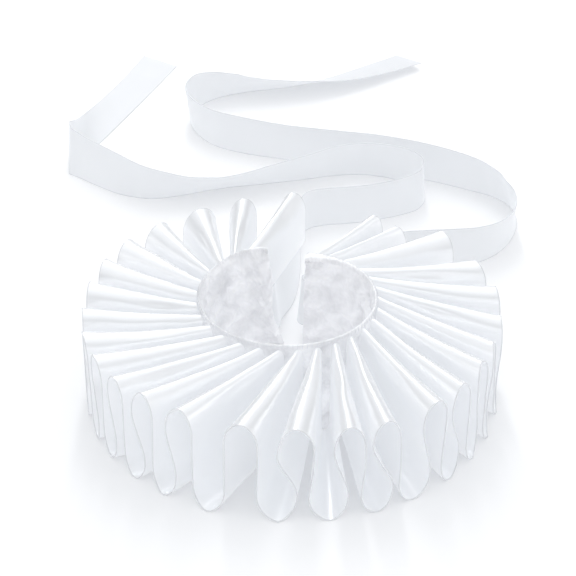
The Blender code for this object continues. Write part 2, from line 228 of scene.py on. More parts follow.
# The top edge is turned over to the inside: how far in its edge stands, and how far below the rim it ends
Turnover = namedtuple("Turnover", "turn inset drop")
TURNOVER = [
    Turnover(101.7, 0.0034, 0.0032),
    Turnover(108.0, 0.0026, 0.0030),
    Turnover(125.0, 0.0007, 0.0022),
    Turnover(180.0, 0.0006, 0.0020),
    Turnover(270.0, 0.0007, 0.0022),
    Turnover(320.0, 0.0010, 0.0022),
    Turnover(350.0, 0.0016, 0.0024),
    Turnover(380.0, 0.0018, 0.0026),
    Turnover(400.0, 0.0022, 0.0028),
    Turnover(412.0, 0.0042, 0.0030),
    Turnover(424.0, 0.0062, 0.0032),
    Turnover(435.2, 0.0074, 0.0030),
]
TURNOVER_LEVELS = 8
RIM_ROUND = 0.0006
RIM_WAVE = 0.0007
RIM_WAVES_PER_DEGREE = 0.16
STITCH_PUCKER = 0.0004
PUCKER_DROP = 1.5

# Whip stitches over the rim: spacing, margins and slant in degrees, and the thread's places as (out, up)
WHIP_STITCH_STEP = 3.1
WHIP_STITCH_MARGINS = (3.5, 1.0)
WHIP_STITCH_SLANT = 1.3
WHIP_STITCH_OUTSIDE = [(0.0008, -0.0022), (0.0009, -0.0006)]
WHIP_STITCH_OVER = 0.0006
WHIP_STITCH_END = (-0.0006, 0.0004)
WHIP_THREAD = 0.00024


def mix(first, second, share):
    """A value or a point at a share of the way from the first to the second."""
    return first + (second - first) * share


def ring_point(centre, radius, turn):
    """The (x, y) place on a ring, at a turn in degrees."""
    return np.array([centre[0] + radius * cos(radians(turn)), centre[1] + radius * sin(radians(turn))])


def on_table(points):
    """The same points moved from the middle of the ruff to its place on the table."""
    return np.asarray(points) + np.array([*RUFF_PLACE, 0.0])


def band_radius(turn, height):
    """From the neck's centre to the middle of the neckband's wall."""
    lift = height / NECKBAND_HEIGHT
    turns = [mix(band.foot_turn, band.rim_turn, lift) for band in NECKBAND]
    foot = np.interp(turn, turns, [band.foot_radius for band in NECKBAND])
    waist = np.interp(turn, turns, [band.waist_radius for band in NECKBAND])
    rim = np.interp(turn, turns, [band.rim_radius for band in NECKBAND])
    return np.interp(lift, (0.0, WAIST_LIFT, 1.0), (foot, waist, rim))


def band_turn(share, lift):
    """Turn of a point on the neckband, at a share of the way from its left end to its right end."""
    start = mix(NECKBAND[0].foot_turn, NECKBAND[0].rim_turn, lift)
    stop = mix(NECKBAND[-1].foot_turn, NECKBAND[-1].rim_turn, lift)
    bow = np.interp(lift * NECKBAND_HEIGHT, END_BOW_HEIGHTS, END_BOW_TURNS)
    return mix(start, stop, share) + bow * max(0.0, 1 - share / END_BOW_SHARE)


def crush(turn, height):
    """How far the crushed satin stands in from the smooth band, in metres."""
    inset = 0.0
    for crease in CREASES:
        arc = radians(turn - crease.turn) * BAND_RADIUS_MM
        run = radians(crease.to_turn - crease.turn) * BAND_RADIUS_MM
        climb = crease.to_height - crease.height
        up = height * 1000 - crease.height
        along = (arc * run + up * climb) / (run * run + climb * climb)
        nearest = min(max(along, 0.0), 1.0)
        apart = ((arc - run * nearest) ** 2 + (up - climb * nearest) ** 2) ** 0.5
        fade = 1.0 - CREASE_END_FADE * abs(2 * nearest - 1)
        inset += crease.depth * 0.001 * fade * np.exp(-((apart / crease.width) ** 2))
    place = Vector((turn * CRUMPLES_PER_DEGREE, height * CRUMPLES_PER_METRE, 3.7))
    crumple = 1.0 - abs(noise.noise(place)) * CRUMPLE_SHARPNESS
    fine = 1.0 - abs(noise.noise(place * FINE_CRUMPLE_SCALE)) * FINE_CRUMPLE_SHARPNESS
    inset += CRUMPLE_DEPTH * (max(crumple, 0.0) + FINE_CRUMPLE_SHARE * max(fine, 0.0))
    return max(inset, -OUTWARD_LIMIT)


def shell(name, rows, thickness, material):
    """A thin sheet of cloth on a grid of points, with its length and width in metres as its UV map."""
    rows = np.asarray(rows, float)
    count, across = rows.shape[:2]
    faces = [
        (i * across + j, i * across + j + 1, (i + 1) * across + j + 1, (i + 1) * across + j)
        for i in range(count - 1)
        for j in range(across - 1)
    ]
    surface = bpy.data.meshes.new(name + "_surface")
    surface.from_pydata(rows.reshape(-1, 3).tolist(), [], faces)
    length = np.zeros((count, across))
    length[1:] = np.cumsum(np.linalg.norm(np.diff(rows, axis=0), axis=2), axis=0)
    length = np.repeat(length[:, across // 2][:, None], across, axis=1)
    width = np.zeros((count, across))
    width[:, 1:] = np.cumsum(np.linalg.norm(np.diff(rows, axis=1), axis=2), axis=1)
    cloth_map = surface.uv_layers.new(name="cloth")
    flat = np.stack([length.ravel(), width.ravel()], axis=1)
    corners = np.empty(len(surface.loops), int)
    surface.loops.foreach_get("vertex_index", corners)
    cloth_map.data.foreach_set("uv", flat[corners].ravel())
    sheet = bpy.data.objects.new(name, surface)
    bpy.context.scene.collection.objects.link(sheet)
    wall = sheet.modifiers.new("wall", "SOLIDIFY")
    wall.thickness = thickness
    wall.offset = 0.0
    wall.use_even_offset = True
    graph = bpy.context.evaluated_depsgraph_get()
    solid = bpy.data.meshes.new_from_object(sheet.evaluated_get(graph))
    sheet.modifiers.clear()
    sheet.data = solid
    solid.shade_smooth()
    solid.set_sharp_from_angle(angle=radians(60))
    solid.materials.clear()
    solid.materials.append(material)
    bpy.data.meshes.remove(surface)
    return sheet


def thread(name, runs, radius, material):
    """Sewing thread or a rolled edge: a thin round tube along each run of points."""
    path = bpy.data.curves.new(name, "CURVE")
    path.dimensions = "3D"
    path.bevel_depth = radius
    path.bevel_resolution = 1
    path.use_fill_caps = True
    for run in runs:
        spline = path.splines.new("POLY")
        spline.points.add(len(run) - 1)
        for point, place in zip(spline.points, run):
            point.co = (*place, 1.0)
    path.materials.append(material)
    strand = bpy.data.objects.new(name, path)
    bpy.context.scene.collection.objects.link(strand)
    return strand


def satin_weave_group():
    """Fine satin threads: a height for the bump, and a slow change of tone and gloss along the cloth."""
    group = bpy.data.node_groups.new("satin_weave", "ShaderNodeTree")
    group.interface.new_socket("Threads per Metre", in_out="INPUT", socket_type="NodeSocketFloat")
    group.interface.new_socket("Height", in_out="OUTPUT", socket_type="NodeSocketFloat")
    group.interface.new_socket("Tone", in_out="OUTPUT", socket_type="NodeSocketFloat")
    nodes, links = group.nodes, group.links
    given = nodes.new("NodeGroupInput")
    out = nodes.new("NodeGroupOutput")
    cloth_map = nodes.new("ShaderNodeUVMap")
    cloth_map.uv_map = "cloth"
    scaled = nodes.new("ShaderNodeVectorMath")
    scaled.operation = "SCALE"
    links.new(cloth_map.outputs["UV"], scaled.inputs[0])
    links.new(given.outputs["Threads per Metre"], scaled.inputs["Scale"])
    float_threads = nodes.new("ShaderNodeTexBrick")
    float_threads.offset = 0.4
    float_threads.inputs["Color1"].default_value = (1.0, 1.0, 1.0, 1.0)
    float_threads.inputs["Color2"].default_value = (0.8, 0.8, 0.8, 1.0)
    float_threads.inputs["Mortar"].default_value = (0.0, 0.0, 0.0, 1.0)
    float_threads.inputs["Scale"].default_value = 1.0
    float_threads.inputs["Mortar Size"].default_value = 0.16
    float_threads.inputs["Mortar Smooth"].default_value = 1.0
    float_threads.inputs["Brick Width"].default_value = 5.0
    float_threads.inputs["Row Height"].default_value = 1.0
    links.new(scaled.outputs["Vector"], float_threads.inputs["Vector"])
    links.new(float_threads.outputs["Color"], out.inputs["Height"])
    slubs = nodes.new("ShaderNodeTexNoise")
    slubs.inputs["Scale"].default_value = 18.0
    slubs.inputs["Detail"].default_value = 3.0
    links.new(cloth_map.outputs["UV"], slubs.inputs["Vector"])
    links.new(slubs.outputs["Fac"], out.inputs["Tone"])
    return group


SATIN_WEAVE = satin_weave_group()


def satin(name, light_tone, dark_tone_and_shade, sheen, gloss, dull, anisotropy, painted_glow, crush_height=0.0):
    """White satin, glossy across its floating threads, lit evenly from within by a painted glow that lifts
    its shade.

    sheen is the share of light that its threads mirror. gloss and dull are its least and most roughness.
    crush_height adds fine wrinkles, in metres, with lighter and darker patches of painted light and shade.
    """
    material = bpy.data.materials.new(name)
    material.use_nodes = True
    nodes, links = material.node_tree.nodes, material.node_tree.links
    shader = nodes["Principled BSDF"]
    shader.inputs["IOR"].default_value = 1.8
    shader.inputs["Metallic"].default_value = sheen
    shader.inputs["Specular IOR Level"].default_value = 1.0
    shader.inputs["Anisotropic"].default_value = anisotropy
    shader.inputs["Anisotropic Rotation"].default_value = 0.25
    # Painted light: an even bluish glow from the cloth itself stands in for fill light and lifts its shade
    shader.inputs["Emission Color"].default_value = (0.93, 0.96, 1.0, 1.0)
    shader.inputs["Emission Strength"].default_value = painted_glow
    shader.inputs["Subsurface Weight"].default_value = 1.0
    shader.inputs["Subsurface Radius"].default_value = (1.0, 1.0, 1.0)
    shader.inputs["Subsurface Scale"].default_value = 0.002
    fibres = nodes.new("ShaderNodeTangent")
    fibres.direction_type = "UV_MAP"
    fibres.uv_map = "cloth"
    links.new(fibres.outputs["Tangent"], shader.inputs["Tangent"])
    weave = nodes.new("ShaderNodeGroup")
    weave.node_tree = SATIN_WEAVE
    weave.inputs["Threads per Metre"].default_value = 2600.0
    tone = nodes.new("ShaderNodeMix")
    tone.data_type = "RGBA"
    tone.inputs["A"].default_value = dark_tone_and_shade
    tone.inputs["B"].default_value = light_tone
    links.new(tone.outputs["Result"], shader.inputs["Base Color"])
    polish = nodes.new("ShaderNodeMapRange")
    polish.inputs["To Min"].default_value = dull
    polish.inputs["To Max"].default_value = gloss
    links.new(weave.outputs["Tone"], polish.inputs["Value"])
    links.new(polish.outputs["Result"], shader.inputs["Roughness"])
    threads = nodes.new("ShaderNodeBump")
    threads.inputs["Strength"].default_value = 0.25
    threads.inputs["Distance"].default_value = 0.00008
    links.new(weave.outputs["Height"], threads.inputs["Height"])
    if not crush_height:
        links.new(weave.outputs["Tone"], tone.inputs["Factor"])
        links.new(threads.outputs["Normal"], shader.inputs["Normal"])
    else:
        cloth_map = nodes.new("ShaderNodeUVMap")
        cloth_map.uv_map = "cloth"
        # Painted shade: noise patches between the dark and the light tone stand in for the light and shade
        # of crumpled satin
        painted_shade_patches = nodes.new("ShaderNodeTexNoise")
        painted_shade_patches.inputs["Scale"].default_value = 55.0
        painted_shade_patches.inputs["Detail"].default_value = 5.0
        painted_shade_patches.inputs["Distortion"].default_value = 0.5
        links.new(cloth_map.outputs["UV"], painted_shade_patches.inputs["Vector"])
        contrast = nodes.new("ShaderNodeMapRange")
        contrast.inputs["From Min"].default_value = 0.12
        contrast.inputs["From Max"].default_value = 0.86
        links.new(painted_shade_patches.outputs["Fac"], contrast.inputs["Value"])
        links.new(contrast.outputs["Result"], tone.inputs["Factor"])
        wrinkles = nodes.new("ShaderNodeTexNoise")
        wrinkles.inputs["Scale"].default_value = 70.0
        wrinkles.inputs["Detail"].default_value = 5.0
        wrinkles.inputs["Distortion"].default_value = 1.2
        links.new(cloth_map.outputs["UV"], wrinkles.inputs["Vector"])
        crushed = nodes.new("ShaderNodeBump")
        crushed.inputs["Strength"].default_value = 1.0
        crushed.inputs["Distance"].default_value = crush_height
        links.new(wrinkles.outputs["Fac"], crushed.inputs["Height"])
        links.new(threads.outputs["Normal"], crushed.inputs["Normal"])
        links.new(crushed.outputs["Normal"], shader.inputs["Normal"])
    return material


def cotton_thread(name, colour):
    """Matt sewing thread with a fine twist along it."""
    material = bpy.data.materials.new(name)
    material.use_nodes = True
    nodes, links = material.node_tree.nodes, material.node_tree.links
    shader = nodes["Principled BSDF"]
    shader.inputs["Base Color"].default_value = colour
    shader.inputs["Roughness"].default_value = 0.6
    shader.inputs["Sheen Weight"].default_value = 0.3
    place = nodes.new("ShaderNodeTexCoord")
    twist = nodes.new("ShaderNodeTexWave")
    twist.inputs["Scale"].default_value = 900.0
    links.new(place.outputs["Object"], twist.inputs["Vector"])
    strands = nodes.new("ShaderNodeBump")
    strands.inputs["Strength"].default_value = 0.5
    strands.inputs["Distance"].default_value = 0.00006
    links.new(twist.outputs["Color"], strands.inputs["Height"])
    links.new(strands.outputs["Normal"], shader.inputs["Normal"])
    return material


def turned_over(turn):
    """(radius, height) points over the rim and down the inside, puckered a little at each whip stitch."""
    turns = [row.turn for row in TURNOVER]
    pucker = STITCH_PUCKER * sin(radians(turn) * 360 / WHIP_STITCH_STEP)
    pucker += RIM_WAVE * noise.noise(Vector((turn * RIM_WAVES_PER_DEGREE, 5.1, 0.0)))
    inset = np.interp(turn, turns, [row.inset for row in TURNOVER]) + pucker
    drop = np.interp(turn, turns, [row.drop for row in TURNOVER]) - pucker * PUCKER_DROP
    rim = band_radius(turn, NECKBAND_HEIGHT)
    points = []
    for level in range(1, TURNOVER_LEVELS + 1):
        angle = pi * level / TURNOVER_LEVELS
        sag = 0.0 if angle < pi / 2 else drop * (1 - sin(angle))
        up = NECKBAND_HEIGHT + RIM_ROUND * sin(angle) - sag
        points.append((rim - inset * (1 - cos(angle)) / 2, up))
    return points


neckband_rows = []
for step in range(NECKBAND_COLUMNS + 1):
    column = []
    for level in range(NECKBAND_LEVELS + 1):
        lift = level / NECKBAND_LEVELS
        turn = band_turn(step / NECKBAND_COLUMNS, lift)
        height = lift * NECKBAND_HEIGHT
        held = min(1.0, (1.0 - lift) / RIM_HELD_SHARE)
        radius = band_radius(turn, height) - crush(turn, height) * held
        column.append([*ring_point(NECK_CENTRE, radius, turn), height])
    for radius, height in turned_over(turn):
        column.append([*ring_point(NECK_CENTRE, radius, turn), height])
    neckband_rows.append(column)
# The crushed satin's dark tone is painted shade for its patches, and its glow is painted light
crushed_satin = satin(
    "crushed_satin",
    light_tone=(0.93, 0.925, 0.935, 1.0),
    dark_tone_and_shade=(0.44, 0.437, 0.453, 1.0),
    sheen=0.45,
    gloss=0.30,
    dull=0.42,
    anisotropy=0.3,
    painted_glow=0.205,
    crush_height=0.0018,
)
neckband = shell("neckband_cloth", on_table(neckband_rows), NECKBAND_CLOTH, crushed_satin)
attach(neckband, "root")
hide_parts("neckband")

whip_runs = []
first_turn = NECKBAND[0].rim_turn + WHIP_STITCH_MARGINS[0]
last_turn = NECKBAND[-1].rim_turn - WHIP_STITCH_MARGINS[1]
for turn in np.arange(first_turn, last_turn, WHIP_STITCH_STEP):
    fold = turned_over(turn)
    rim_radius = band_radius(turn, NECKBAND_HEIGHT)
    over = [(rim_radius + out, NECKBAND_HEIGHT + up) for out, up in WHIP_STITCH_OUTSIDE]
    over += [(radius, height + WHIP_STITCH_OVER) for radius, height in fold[:-1:2]]
    over.append((fold[-1][0] + WHIP_STITCH_END[0], fold[-1][1] + WHIP_STITCH_END[1]))
    stitch = []
    for (radius, height), lean in zip(over, np.linspace(0.0, WHIP_STITCH_SLANT, len(over))):
        stitch.append([*ring_point(NECK_CENTRE, radius, turn + lean), height])
    whip_runs.append(on_table(stitch))
white_thread = cotton_thread("white_thread", (0.88, 0.89, 0.92, 1.0))
whip_stitches = thread("rim_whip_stitches", whip_runs, WHIP_THREAD, white_thread)
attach(whip_stitches, "root")


# Ruff
# One long strip of white satin, folded into figure-of-eight pleats and sewn by its inner edge round the
# neckband. Its outer edge has a very narrow rolled hem, and its left end hangs free at the back opening.
RUFF_CLOTH = 0.0006

# Each pleat from the left of the back opening round the front: where its crest meets the hem, half the width
# of the crest's loop, where the crest meets the neck seam, and the foot between it and the next pleat
Pleat = namedtuple("Pleat", "crest_turn crest_half reach crest_height neck_turn foot_turn foot_half")
PLEATS = [
    Pleat(89.9, 0.0104, 0.159, 0.0800, 117.0, 98.0, 0.0095),
    Pleat(105.0, 0.0118, 0.157, 0.0790, 126.5, 113.0, 0.0100),
    Pleat(119.2, 0.0150, 0.154, 0.0790, 137.5, 128.0, 0.0105),
    Pleat(133.8, 0.0140, 0.154, 0.0790, 149.8, 142.3, 0.0105),
    Pleat(147.0, 0.0130, 0.156, 0.0790, 161.8, 155.0, 0.0100),
    Pleat(159.0, 0.0115, 0.156, 0.0790, 174.0, 167.2, 0.0095),
    Pleat(170.8, 0.0113, 0.156, 0.0790, 187.0, 179.5, 0.0095),
    Pleat(183.4, 0.0110, 0.156, 0.0790, 200.5, 192.2, 0.0095),
    Pleat(195.1, 0.0108, 0.158, 0.0790, 213.4, 203.0, 0.0095),
    Pleat(206.2, 0.0105, 0.158, 0.0790, 226.6, 212.9, 0.0090),
    Pleat(216.8, 0.0098, 0.157, 0.0790, 239.8, 223.6, 0.0095),
    Pleat(227.4, 0.0098, 0.154, 0.0790, 252.6, 234.3, 0.0098),
    Pleat(239.3, 0.0108, 0.152, 0.0790, 264.6, 247.4, 0.0120),
    Pleat(256.3, 0.0122, 0.152, 0.0790, 276.2, 266.2, 0.0150),
    Pleat(270.2, 0.0136, 0.152, 0.0790, 288.0, 279.5, 0.0140),
    Pleat(284.2, 0.0108, 0.155, 0.0790, 300.0, 292.2, 0.0122),
    Pleat(293.9, 0.0110, 0.157, 0.0790, 311.8, 302.8, 0.0125),
    Pleat(308.6, 0.0108, 0.158, 0.0790, 323.8, 315.5, 0.0110),
    Pleat(319.0, 0.0105, 0.156, 0.0790, 335.8, 326.4, 0.0100),
    Pleat(329.8, 0.0100, 0.154, 0.0790, 347.8, 336.5, 0.0095),
    Pleat(339.8, 0.0098, 0.153, 0.0790, 360.3, 348.0, 0.0095),
    Pleat(352.5, 0.0105, 0.154, 0.0790, 372.8, 361.5, 0.0100),
    Pleat(366.5, 0.0110, 0.154, 0.0790, 385.0, 375.5, 0.0105),
    Pleat(380.8, 0.0118, 0.152, 0.0790, 397.0, 390.5, 0.0105),
    Pleat(399.2, 0.0120, 0.155, 0.0790, 411.0, 409.0, 0.0090),
    Pleat(415.6, 0.0085, 0.149, 0.0690, 424.0, 419.4, 0.0040),
    Pleat(423.4, 0.0075, 0.148, 0.0730, 432.8, 427.0, 0.0050),
]
FOOT_REACH = 0.157

# The strip's two cut ends hang from the first and the last crest, and end at a slanting line
Hem = namedtuple("Hem", "turn reach height neck_turn neck_height")
LEFT_HEM = Hem(86.1, 0.1600, 0.032, 102.5, 0.046)
RIGHT_HEM = Hem(427.2, 0.150, 0.030, 434.9, 0.062)

# The loops of the pleats, and how the satin sags, waves, gathers and ripples between them
SEAM_CLEAR = 0.0012
NECK_CREST_HEIGHT = 0.0775
NECK_LOOP_DEPTH = 0.0060
CREST_LOOP_DEPTH = 0.0180
FOOT_LOOP_DEPTH = 0.0185
LOOP_STEPS = 7
WALL_STEPS = 12
RADIAL_STEPS = 22
ROLLED_HEM = 0.00050
CREST_SAG = 0.0016
BILLOW = 0.0011
SLOW_WAVE = 1.7
SLOW_WAVES_PER_METRE = 22
GATHER_FADE = 2.2
GATHERS_PER_METRE = 85
RIPPLE = 0.35
RIPPLE_STRETCH = 3
RIPPLES_PER_METRE = 48
WAVES_ACROSS = 1.6
SEAM_HOLD = 8

# Dents in the loops: the pleat's place in the table above, how far aside of its crest and at what share of
# the way from the neck to the hem, how deep, over what share of the way it reaches, and how wide it is. A
# negative depth is a ridge. All but the place and the shares are in metres.
Dent = namedtuple("Dent", "pleat aside share depth reach width")
DENTS = [
    Dent(0, 0.014, 0.45, 0.0016, 0.30, 0.0050),
    Dent(0, -0.010, 0.70, 0.0012, 0.20, 0.0060),
    Dent(1, -0.006, 0.40, 0.0013, 0.22, 0.0040),
    Dent(2, 0.012, 0.55, 0.0016, 0.26, 0.0050),
    Dent(3, -0.010, 0.35, 0.0014, 0.20, 0.0045),
    Dent(4, 0.008, 0.62, -0.0011, 0.22, 0.0040),
    Dent(5, -0.012, 0.50, 0.0014, 0.24, 0.0050),
    Dent(6, 0.010, 0.34, 0.0013, 0.18, 0.0040),
    Dent(7, -0.008, 0.58, 0.0012, 0.24, 0.0045),
    Dent(8, 0.011, 0.46, -0.0012, 0.22, 0.0040),
    Dent(9, -0.010, 0.40, 0.0014, 0.22, 0.0045),
    Dent(10, 0.009, 0.60, 0.0013, 0.24, 0.0045),
    Dent(11, -0.009, 0.36, 0.0012, 0.20, 0.0040),
    Dent(12, 0.012, 0.50, 0.0014, 0.26, 0.0050),
    Dent(13, 0.010, 0.42, -0.0012, 0.24, 0.0045),
    Dent(14, -0.006, 0.34, 0.0012, 0.16, 0.0040),
    Dent(14, 0.013, 0.48, -0.0016, 0.30, 0.0035),
    Dent(15, -0.004, 0.40, 0.0017, 0.13, 0.0040),
    Dent(15, 0.007, 0.62, 0.0012, 0.18, 0.0040),
    Dent(16, 0.004, 0.46, 0.0013, 0.14, 0.0035),
    Dent(17, -0.011, 0.52, 0.0014, 0.24, 0.0045),
    Dent(18, 0.008, 0.38, 0.0012, 0.20, 0.0040),
    Dent(19, -0.009, 0.60, -0.0011, 0.22, 0.0040),
    Dent(20, 0.010, 0.44, 0.0013, 0.22, 0.0045),
    Dent(21, -0.010, 0.50, 0.0013, 0.24, 0.0045),
    Dent(22, 0.009, 0.36, 0.0014, 0.20, 0.0040),
    Dent(23, -0.012, 0.56, 0.0015, 0.26, 0.0050),
    Dent(24, 0.010, 0.40, 0.0013, 0.22, 0.0045),
    Dent(25, -0.008, 0.60, 0.0012, 0.24, 0.0040),
    Dent(26, 0.006, 0.48, 0.0012, 0.22, 0.0040),
]


def wall_profile(length, low, high, foot_half, foot_depth, crest_half, crest_depth):
    """(way, height) points up one wall, from a foot loop to a crest. A hemmed end has no foot loop."""
    profile = []
    if foot_half > 0:
        for step in range(LOOP_STEPS):
            angle = pi / 2 * step / LOOP_STEPS
            profile.append((foot_half * sin(angle), low + foot_depth * (1 - cos(angle))))
    for step in range(WALL_STEPS):
        part = step / WALL_STEPS
        bend = part * part * (3 - 2 * part)
        way = mix(foot_half, length - crest_half, bend)
        profile.append((way, mix(low + foot_depth, high - crest_depth, part)))
    for step in range(LOOP_STEPS + 1):
        angle = pi / 2 * step / LOOP_STEPS
        profile.append((length - crest_half * cos(angle), high - crest_depth * (1 - sin(angle))))
    return profile


def outer_edge(turn, reach, height, foot_half, pleat):
    """The outer edge of one wall, from a foot or a hem to the crest of its pleat."""
    start = ring_point((0.0, 0.0), reach, turn)
    span = ring_point((0.0, 0.0), pleat.reach, pleat.crest_turn) - start
    length = np.linalg.norm(span)
    foot_depth = FOOT_LOOP_DEPTH if foot_half > 0 else 0.0
    high = pleat.crest_height - RUFF_CLOTH / 2
    profile = wall_profile(length, height, high, foot_half, foot_depth, pleat.crest_half, CREST_LOOP_DEPTH)
    return [np.array([*(start + span * way / length), up]) for way, up in profile]


def neck_edge(turn, height, foot_half, pleat):
    """The inner edge of the same wall, along its seam with the neckband."""
    span = pleat.neck_turn - turn
    length = radians(abs(span)) * NECKBAND[0].rim_radius
    half = length / 2 if foot_half > 0 else 0.0
    foot_depth = NECK_LOOP_DEPTH if foot_half > 0 else 0.0
    high = NECK_CREST_HEIGHT - RUFF_CLOTH / 2
    edge = []
    for way, up in wall_profile(length, height, high, half, foot_depth, length / 2, NECK_LOOP_DEPTH):
        place = turn + span * way / length
        radius = band_radius(place, up + RUFF_CLOTH) + SEAM_CLEAR
        edge.append(np.array([*ring_point(NECK_CENTRE, radius, place), up]))
    return edge


def strip_edges():
    """The folded line of the strip along the neck and along its outer edge, and where its crests are."""
    rest = RUFF_CLOTH / 2
    neck, outer, crests = [], [], []
    for index, pleat in enumerate(PLEATS):
        if index == 0:
            neck += neck_edge(LEFT_HEM.neck_turn, LEFT_HEM.neck_height, 0.0, pleat)
            outer += outer_edge(LEFT_HEM.turn, LEFT_HEM.reach, LEFT_HEM.height, 0.0, pleat)
        else:
            before = PLEATS[index - 1]
            foot_neck_turn = (before.neck_turn + pleat.neck_turn) / 2
            neck += neck_edge(foot_neck_turn, rest, before.foot_half, pleat)
            outer += outer_edge(before.foot_turn, FOOT_REACH, rest, before.foot_half, pleat)
        crests.append(len(outer) - 1)
        if index == len(PLEATS) - 1:
            down_neck = neck_edge(RIGHT_HEM.neck_turn, RIGHT_HEM.neck_height, 0.0, pleat)
            down_outer = outer_edge(RIGHT_HEM.turn, RIGHT_HEM.reach, RIGHT_HEM.height, 0.0, pleat)
        else:
            foot_neck_turn = (pleat.neck_turn + PLEATS[index + 1].neck_turn) / 2
            down_neck = neck_edge(foot_neck_turn, rest, pleat.foot_half, pleat)[1:]
            down_outer = outer_edge(pleat.foot_turn, FOOT_REACH, rest, pleat.foot_half, pleat)[1:]
        neck += down_neck[-2::-1]
        outer += down_outer[-2::-1]
    return np.array(neck), np.array(outer), crests


def soft_noise(run, share, per_metre, seed):
    """Smooth bumps between -1 and 1 over the strip, by the length along it and the share across it."""
    return np.array([
        [noise.noise(Vector((length * per_metre, part * WAVES_ACROSS, seed))) for length in run]
        for part in share
    ])


def billowed(rows, crests):
    """The walls of the pleats sagged, bowed, rippled and dented, and drawn tight at the neck seam."""
    along = np.gradient(rows, axis=1)
    outward = np.gradient(rows, axis=0)
    facing = np.cross(along, outward)
    facing /= np.linalg.norm(facing, axis=2, keepdims=True)
    run = np.zeros(rows.shape[1])
    run[1:] = np.cumsum(np.linalg.norm(np.diff(rows[-1], axis=0), axis=1))
    share = np.linspace(0, 1, rows.shape[0])
    held = np.minimum(1.0, share * SEAM_HOLD)[:, None]
    near_neck = np.maximum(0.0, 1 - share * GATHER_FADE)[:, None]
    slow = soft_noise(run, share, SLOW_WAVES_PER_METRE, 8.2) * SLOW_WAVE * share[:, None]
    gather = soft_noise(run, share, GATHERS_PER_METRE, 2.4) * near_neck
    ripple = soft_noise(run, share * RIPPLE_STRETCH, RIPPLES_PER_METRE, 5.9) * RIPPLE
    inward = BILLOW * (slow + gather + ripple)
    for dent in DENTS:
        aside = (run - run[crests[dent.pleat]] - dent.aside) / dent.width
        onward = (share - dent.share) / dent.reach
        inward += dent.depth * np.exp(-(aside[None, :] ** 2) - onward[:, None] ** 2)
    moved = rows + facing * (inward * held)[:, :, None]
    lift = rows[:, :, 2] / NECK_CREST_HEIGHT
    moved[:, :, 2] -= CREST_SAG * lift**2 * (4 * share * (1 - share))[:, None]
    moved[:, :, 2] = np.maximum(moved[:, :, 2], RUFF_CLOTH / 2)
    return moved


neck_line, outer_line, crest_places = strip_edges()
ruff_rows = np.array([mix(neck_line, outer_line, step / RADIAL_STEPS) for step in range(RADIAL_STEPS + 1)])
ruff_rows = billowed(ruff_rows, crest_places)
# Painted light: the ruff's satin takes part of its brightness from its glow, which lifts the shade in its
# pleats
ruff_satin = satin(
    "ruff_satin",
    light_tone=(0.71, 0.715, 0.725, 1.0),
    dark_tone_and_shade=(0.69, 0.695, 0.705, 1.0),
    sheen=0.58,
    gloss=0.29,
    dull=0.33,
    anisotropy=0.9,
    painted_glow=0.25,
)
ruff = shell("ruff_cloth", on_table(ruff_rows.transpose(1, 0, 2)), RUFF_CLOTH, ruff_satin)
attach(ruff, "root")
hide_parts("ruff_strip")

# Painted shade: the rolled hem is a darker copy of the ruff's satin, so that it reads as a grey outline
# round the ruff
shaded_hem_satin = satin(
    "shaded_hem_satin",
    light_tone=(0.62, 0.625, 0.64, 1.0),
    dark_tone_and_shade=(0.57, 0.575, 0.59, 1.0),
    sheen=0.20,
    gloss=0.38,
    dull=0.46,
    anisotropy=0.0,
    painted_glow=0.11,
)
rolled_hem = thread("ruff_rolled_hem", [on_table(ruff_rows[-1])], ROLLED_HEM, shaded_hem_satin)
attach(rolled_hem, "root")


# Ribbon ties
# Two lengths of satin ribbon, each sewn flat to the outside of one end of the neckband. They stand on
# edge on the table. The left one is creased over near its end, and the right one lies down at its end.
RIBBON_WIDTH = 0.0400
RIBBON_CLOTH = 0.0005
RIBBON_ACROSS = 8
RIBBON_STEP = 0.0022
SELVEDGE = 0.00040

# The ties' lower edges along the table, and how many degrees each leans to the left of its way
Station = namedtuple("Station", "x y z lean")
LEFT_TIE_STANDING = [
    Station(-0.0245, 0.0650, 0.004, 8),
    Station(-0.0190, 0.0657, 0.004, 8),
    Station(-0.0143, 0.0680, 0.004, 7),
    Station(-0.0115, 0.0718, 0.004, 6),
    Station(-0.0103, 0.0765, 0.004, 6),
    Station(-0.0096, 0.0830, 0.003, 7),
    Station(-0.0080, 0.0900, 0.002, 10),
    Station(-0.0050, 0.0985, 0.001, 13),
    Station(-0.0005, 0.1100, 0.000, 15),
    Station(0.0030, 0.1250, 0.000, 15),
    Station(0.0052, 0.1420, 0.000, 13),
    Station(0.0065, 0.1620, 0.000, 9),
    Station(0.0070, 0.1840, 0.000, 4),
    Station(0.0070, 0.2050, 0.000, 0),
    Station(0.0085, 0.2215, 0.000, -2),
    Station(0.0155, 0.2315, 0.000, -4),
    Station(0.0300, 0.2375, 0.000, -6),
    Station(0.0480, 0.2398, 0.000, -6),
    Station(0.0720, 0.2450, 0.000, -6),
    Station(0.0980, 0.2548, 0.000, -4),
    Station(0.1125, 0.2635, 0.000, -1),
    Station(0.1200, 0.2770, 0.000, 3),
    Station(0.1205, 0.2920, 0.000, 6),
    Station(0.1110, 0.3070, 0.000, 8),
    Station(0.0925, 0.3200, 0.000, 12),
    Station(0.0650, 0.3275, 0.000, 15),
    Station(0.0370, 0.3250, 0.000, 19),
    Station(0.0090, 0.3175, 0.000, 27),
    Station(-0.0190, 0.3115, 0.000, 35),
    Station(-0.0470, 0.3060, 0.000, 43),
    Station(-0.0750, 0.2990, 0.000, 45),
    Station(-0.1010, 0.2890, 0.000, 36),
    Station(-0.1290, 0.2835, 0.000, 16),
    Station(-0.1560, 0.2905, 0.000, -3),
    Station(-0.1790, 0.3060, 0.000, -11),
    Station(-0.1960, 0.3200, 0.000, -14),
]
